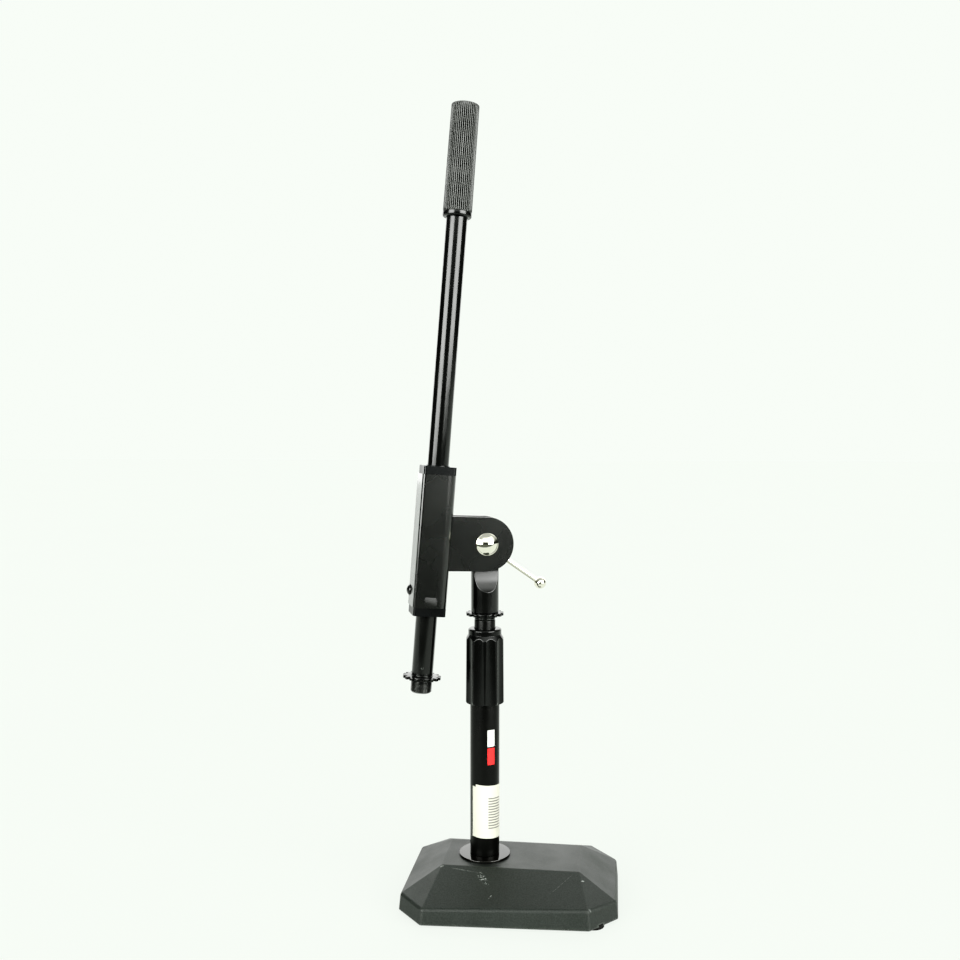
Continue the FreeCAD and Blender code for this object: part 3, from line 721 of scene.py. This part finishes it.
LABEL_SLANT = 0.012
BAR_PITCH = 2.05
bars = [
    wrapped(14, 74, 52.4 + BAR_PITCH * i, 53.25 + BAR_PITCH * i, 0.15, slant=LABEL_SLANT)
    for i in range(12)
]
on_tube("paper_label", PAPER, wrapped(-54, 150, 44.9, 85.2, 0.12, slant=LABEL_SLANT, notch=(-37, 2.0)))
on_tube("label_bars", INK_GREY, *bars)
on_tube("marking_white", INK_WHITE, wrapped(10, 41, 114.6, 127.3, 0.05, corner=0.7))
on_tube("marking_red", INK_RED, wrapped(10, 41, 100.8, 113.6, 0.05, corner=0.7))

# ---------------------------------------------------------------- star lock nuts


NUT_THICKNESS = 2.2
NUT_BORE = 7.97
NUT_MOUTH = 8.5


def star_outline(ring=11.9, tip=14.2, teeth=16, width=2.9):
    """Outline of a ring with square teeth, each corner with its rounding."""
    half = width / 2
    root = math.sqrt(ring ** 2 - half ** 2)
    points = []
    for i in range(teeth):
        turn = Matrix.Rotation(2 * math.pi * i / teeth, 2)
        for x, y, r in ((root, -half, 0.35), (tip, -half, 0.45), (tip, half, 0.45), (root, half, 0.35)):
            p = turn @ Vector((x, y))
            points.append((p.x, p.y, r))
        start = 2 * math.pi * i / teeth + math.asin(half / ring)
        gap = 2 * math.pi / teeth - 2 * math.asin(half / ring)
        for k in (1, 2, 3):
            a = start + gap * k / 4
            points.append((ring * math.cos(a), ring * math.sin(a)))
    return rounded(points, True, 4)


def inset_loop(loop, amount):
    """The same outline, moved inwards."""
    count = len(loop)
    made = []
    for i in range(count):
        before = Vector(loop[i]) - Vector(loop[i - 1])
        after = Vector(loop[(i + 1) % count]) - Vector(loop[i])
        normal = before.normalized() + after.normalized()
        normal = Vector((-normal.y, normal.x)).normalized()
        made.append(tuple(Vector(loop[i]) + normal * amount))
    return made


def star_nut(name, low, place, body, stands_for):
    """Stamped ring: rounded edges all round, and a bore with a wider mouth at each end."""
    high = low + NUT_THICKNESS
    soft = 0.35
    outline = star_outline()
    layers = []
    for k in range(5):
        t = math.radians(90 * k / 4)
        layers.append((soft * (1 - math.sin(t)), low + soft * (1 - math.cos(t))))
    upper = [(inset, low + high - z) for inset, z in reversed(layers)]
    verts = []
    for inset, z in layers + upper:
        verts += [(x, y, z) for x, y in inset_loop(outline, inset)]
    n = len(outline)
    faces = []
    for j in range(len(layers + upper) - 1):
        for i in range(n):
            k = (i + 1) % n
            faces.append((j * n + i, j * n + k, (j + 1) * n + k, (j + 1) * n + i))
    bore = []
    angles = [math.atan2(y, x) for x, y in outline]
    for z, r in ((low, NUT_MOUTH), (low + 0.5, NUT_BORE), (high - 0.5, NUT_BORE), (high, NUT_MOUTH)):
        bore.append(len(verts))
        verts += [(r * math.cos(a), r * math.sin(a), z) for a in angles]
    last = (len(layers + upper) - 1) * n
    chain = [0] + bore + [last]
    for a, b in zip(chain, chain[1:]):
        for i in range(n):
            k = (i + 1) % n
            faces.append((a + i, b + i, b + k, a + k))
    return add_piece(name, verts, faces, place, body, GLOSS, stands_for, sharp=35)


star_nut("column_lock_nut_shown", COLUMN_NUT_LOW, COLUMN, "column_nut", ("column_lock_nut",))
star_nut("mic_lock_nut_shown", MIC_NUT_LOW, BOOM, "mic_nut", ("mic_lock_nut",))

# ---------------------------------------------------------------- head

softened("swivel_adapter", 0.3, GLOSS, angle=40)
softened("boom_bracket", 0.45, SATIN, angle=30, segments=4)
softened("clamp_insert", 0.4, LINER, angle=40, segments=3)


def domed(name, radius, height, place, body, mat, stands_for, rest, edge=0.25):
    """A dome over a short rim, then whatever profile is below it."""
    ball = (radius ** 2 + height ** 2) / (2 * height)
    top = math.asin(radius / ball)
    points = []
    for i in range(17):
        t = top * i / 16
        points.append((ball * math.sin(t), height - ball * (1 - math.cos(t))))
    points[-1] = (radius, edge)
    points += rest
    verts, faces = turned(points, 128, False)
    return add_piece(name, verts, faces, place, body, mat, stands_for)


FRONTWARD = HEAD @ Matrix.Rotation(math.radians(90), 4, "X")
domed(
    "pivot_bolt_shown", 8.4, 4.2, FRONTWARD @ Matrix.Translation((0, 0, 8)), "head", CHROME,
    ("pivot_bolt",), [(8.3, 0.02), (4, 0), (4, -24.2), (0, -24.2)],
)
SIDEWARD = HEAD @ Matrix.Translation((-53.3, 7.5, -38.7)) @ Matrix.Rotation(math.radians(-90), 4, "Y")
domed(
    "side_rivet_shown", 4.3, 2.4, SIDEWARD, "head", GLOSS,
    ("side_rivet",), [(4.2, 0.02), (2, 0), (2, -4), (0, -4)],
)

# ---------------------------------------------------------------- lever

BACKWARD = LEVER @ Matrix.Rotation(math.radians(-90), 4, "X")
lathe(
    "lever_washer_shown", tube_profile(7.6, 4.06, 8.05, 9.25, 0.2),
    BACKWARD, "lever", CHROME, ("lever_washer",),
)
softened("lever_hub", 0.3, CHROME, angle=40)
ALONG_BAR = LEVER @ Matrix.Translation((0, 19, 0)) @ Matrix.Rotation(math.radians(90), 4, "Y")
lathe(
    "lever_bar_shown",
    [(0, BAR_LOW), (BAR_RADIUS, BAR_LOW, 0.2), (BAR_RADIUS, BAR_HIGH, 0.2), (0, BAR_HIGH)],
    ALONG_BAR, "lever_rod", CHROME, ("lever_bar",), segments=64, closed=False,
)


def ball_rows(centre, radius):
    """Profile of a ball whose middle is at a height."""
    rows = []
    for i in range(33):
        t = math.pi * i / 32
        rows.append((radius * math.sin(t), centre - radius * math.cos(t)))
    return rows


verts, faces = joined([turned(ball_rows(centre, BALL_RADIUS), 64, False) for centre in (BAR_LOW, BAR_HIGH)])
add_piece(
    "lever_balls_shown", verts, faces, ALONG_BAR, "lever_rod", CHROME, ("lever_balls",),
)

# ---------------------------------------------------------------- boom

lathe(
    "friction_sleeve_shown", tube_profile(8.8, 8.0, -56.0, 56.0, 0.3),
    BOOM, "boom_sleeve", LINER, ("friction_sleeve",),
)
lathe(
    "boom_tube_shown",
    [
        (SHAFT_BORE, BOOM_LOW), (SHAFT_RADIUS, BOOM_LOW, 0.35),
        (SHAFT_RADIUS, BOOM_HIGH), (SHAFT_BORE, BOOM_HIGH),
    ],
    BOOM, "boom", GLOSS, ("boom_tube",), segments=160,
)
threaded(
    "boom_thread_shown", THREAD_RADIUS, INSERT_LOW, BOOM_LOW, 1.0, BOOM, "boom", KNURL,
    ("boom_thread_insert",), [(INSERT_RADIUS, BOOM_LOW), (INSERT_RADIUS, INSERT_HIGH), (0, INSERT_HIGH)],
)
ACROSS_BOOM = Matrix.Translation((0, 0, -95)) @ Matrix.Rotation(math.radians(90), 4, "X")
PIN = BOOM @ Matrix.Rotation(math.radians(-12.5), 4, "Z") @ ACROSS_BOOM
lathe(
    "insert_pin_shown",
    [(0, -7.8), (1.2, -7.8), (1.2, 7.8), (0.75, 7.945, 0.05), (0.45, 7.6), (0, 7.5)],
    PIN, "boom", STEEL, ("insert_pin",), segments=32, closed=False,
)

RIBS = 42
RIB_LOW = WEIGHT_LOW + 0.3
RIB_HIGH = WEIGHT_HIGH - 0.6
RIB_DEPTH = 0.80


def ribbed(angle, r, z):
    """Straight rounded ribs that run out at the ends."""
    if r < 9.8 or z < RIB_LOW or z > RIB_HIGH:
        return r
    ease = min(1, (z - RIB_LOW) / 0.6, (RIB_HIGH - z) / 0.8)
    wave = abs(math.sin(RIBS * angle / 2))
    return r - RIB_DEPTH * ease * (1 - wave) ** 1.1


def weight_rows():
    outside = rounded([
        (0, WEIGHT_LOW),
        (WEIGHT_RADIUS_LOW, WEIGHT_LOW, 0.5),
        (WEIGHT_RADIUS_HIGH, WEIGHT_HIGH, 0.8),
        (0, WEIGHT_HIGH),
    ], closed=False)
    return outside[:1] + subdivided(outside[1:-1], 2.0) + outside[-1:]


verts, faces = turned(weight_rows(), RIBS * 12, False, ribbed)
add_piece(
    "counterweight_shown", verts, faces, BOOM, "boom", KNURL, ("counterweight",), sharp=60,
)
lathe(
    "counterweight_collar_shown",
    [(7.99, COLLAR_LOW), (COLLAR_RADIUS, COLLAR_LOW, 1.4), (COLLAR_RADIUS, 243.55, 0.3), (7.99, 243.55)],
    BOOM, "boom", GLOSS, ("counterweight_collar",),
)

# ---------------------------------------------------------------- studio

LOOK_DOWN = 2.45                    # degrees that the camera looks down
LOOK_YAW = math.radians(7.48)       # the camera looks this far to the left of +Y
LOOK = Vector((-math.sin(LOOK_YAW), math.cos(LOOK_YAW), 0))
PALE = (0.955, 1.0, 0.945)


def toward(azimuth):
    """A level direction from the object: azimuth to the right of the camera's side."""
    a = math.radians(azimuth)
    back = -LOOK
    side = Vector((-back.y, back.x, 0))
    return back * math.cos(a) + side * math.sin(a)


world = bpy.data.worlds.new("studio")
world.use_nodes = True
bpy.context.scene.world = world
SKY = world.node_tree
SKY.nodes.clear()
coord = node(SKY, "ShaderNodeTexCoord")
level = node(SKY, "ShaderNodeVectorMath", operation="MULTIPLY")
level.inputs[1].default_value = (1, 1, 0)
link(SKY, coord.outputs["Generated"], level.inputs[0])
compass = node(SKY, "ShaderNodeVectorMath", operation="NORMALIZE")
link(SKY, level.outputs[0], compass.inputs[0])
split = node(SKY, "ShaderNodeSeparateXYZ")
link(SKY, coord.outputs["Generated"], split.inputs[0])


def soft_step(tree, value, low, high, to_min=0.0, to_max=1.0):
    made = node(tree, "ShaderNodeMapRange", interpolation_type="SMOOTHSTEP")
    made.inputs["From Min"].default_value = low
    made.inputs["From Max"].default_value = high
    made.inputs["To Min"].default_value = to_min
    made.inputs["To Max"].default_value = to_max
    link(tree, value, made.inputs["Value"])
    return made.outputs["Result"]


def sector(azimuth, outer, inner):
    """1 within the inner angle of a compass direction, 0 beyond the outer angle."""
    dot = node(SKY, "ShaderNodeVectorMath", operation="DOT_PRODUCT")
    dot.inputs[1].default_value = toward(azimuth)
    link(SKY, compass.outputs[0], dot.inputs[0])
    return soft_step(SKY, dot.outputs["Value"], math.cos(math.radians(outer)), math.cos(math.radians(inner)))


def above(low, high):
    """0 below one elevation, 1 above another."""
    return soft_step(SKY, split.outputs["Z"], math.sin(math.radians(low)), math.sin(math.radians(high)))


def below(low, high):
    """1 below one elevation, 0 above another."""
    sines = (math.sin(math.radians(low)), math.sin(math.radians(high)))
    return soft_step(SKY, split.outputs["Z"], *sines, 1.0, 0.0)


def product(*values):
    so_far = values[0]
    for value in values[1:]:
        so_far = multiply(SKY, so_far, value)
    return so_far


def total(*values):
    so_far = values[0]
    for value in values[1:]:
        made = node(SKY, "ShaderNodeMath", operation="ADD")
        for socket, term in zip(made.inputs, (so_far, value)):
            if isinstance(term, bpy.types.NodeSocket):
                link(SKY, term, socket)
            else:
                socket.default_value = term
        so_far = made.outputs[0]
    return so_far


backdrop = product(sector(180, 48, 40), below(50, 75), 1.9)
left_softbox = product(sector(-45, 24, 19), above(-11, 2.5), below(22, 36), 8.5)
right_softbox = product(sector(47, 24, 19), above(-9, 2), below(20, 34), 8.5)
overhead = product(sector(30, 75, 20), above(8, 28), below(46, 60), 1.7)
upper_room = product(above(10, 40), 0.5)
light = total(backdrop, left_softbox, right_softbox, overhead, upper_room, 0.05)
around = node(SKY, "ShaderNodeBackground")
around.inputs["Color"].default_value = (0.985, 1.0, 0.975, 1)
link(SKY, light, around.inputs["Strength"])
seen = node(SKY, "ShaderNodeBackground")
seen.inputs["Color"].default_value = (*PALE, 1)
seen.inputs["Strength"].default_value = 0.98
path = node(SKY, "ShaderNodeLightPath")
mix = node(SKY, "ShaderNodeMixShader")
link(SKY, path.outputs["Is Camera Ray"], mix.inputs[0])
link(SKY, around.outputs[0], mix.inputs[1])
link(SKY, seen.outputs[0], mix.inputs[2])
out = node(SKY, "ShaderNodeOutputWorld")
link(SKY, mix.outputs[0], out.inputs["Surface"])

# To the eye the floor glows evenly. In reflections it is dark from half a metre in front of the object
sheet = bpy.data.meshes.new("studio_floor")
sheet.from_pydata([(-9, -9, 0), (9, -9, 0), (9, 14, 0), (-9, 14, 0)], [], [(0, 1, 2, 3)])
mat, tree, shader = material("studio_floor")
pale = noise(tree, object_point(tree), 3, 3)
floor_colour = blend_colour(tree, pale, (0.070, 0.074, 0.069), (0.075, 0.079, 0.074))
link(tree, floor_colour, shader.inputs["Base Color"])
shader.inputs["Roughness"].default_value = 1.0
shader.inputs["Specular IOR Level"].default_value = 0.0
shader.inputs["Emission Color"].default_value = (*PALE, 1)
place = node(tree, "ShaderNodeSeparateXYZ")
link(tree, object_point(tree), place.inputs[0])
lit = soft_step(tree, place.outputs["Y"], -0.54, -0.50, 0.05, 0.84)
path = node(tree, "ShaderNodeLightPath")
glow = node(tree, "ShaderNodeMix", data_type="FLOAT")
link(tree, path.outputs["Is Camera Ray"], glow.inputs[0])
link(tree, lit, glow.inputs[2])
glow.inputs[3].default_value = 0.86
link(tree, glow.outputs[0], shader.inputs["Emission Strength"])
sheet.materials.append(mat)
floor = bpy.data.objects.new("studio_floor", sheet)
bpy.context.scene.collection.objects.link(floor)

# ---------------------------------------------------------------- camera

camera_data = bpy.data.cameras.new("camera")
camera_data.sensor_width = 36
camera_data.lens = 38.2
camera = bpy.data.objects.new("camera", camera_data)
camera.location = (axis_point.x + 0.0961, axis_point.y - 0.7602, 0.3476)
camera.rotation_euler = (math.radians(90 - LOOK_DOWN), 0, LOOK_YAW)
bpy.context.scene.collection.objects.link(camera)
bpy.context.scene.camera = camera

# ---------------------------------------------------------------- picture contrast

settings = bpy.context.scene.view_settings
settings.view_transform = "Standard"
settings.use_curve_mapping = True
response = settings.curve_mapping.curves[3]     # all channels together
for dark, shown in ((0.02, 0.003), (0.05, 0.016), (0.1, 0.06), (0.2, 0.185), (0.35, 0.35)):
    response.points.new(dark, shown)
settings.curve_mapping.update()
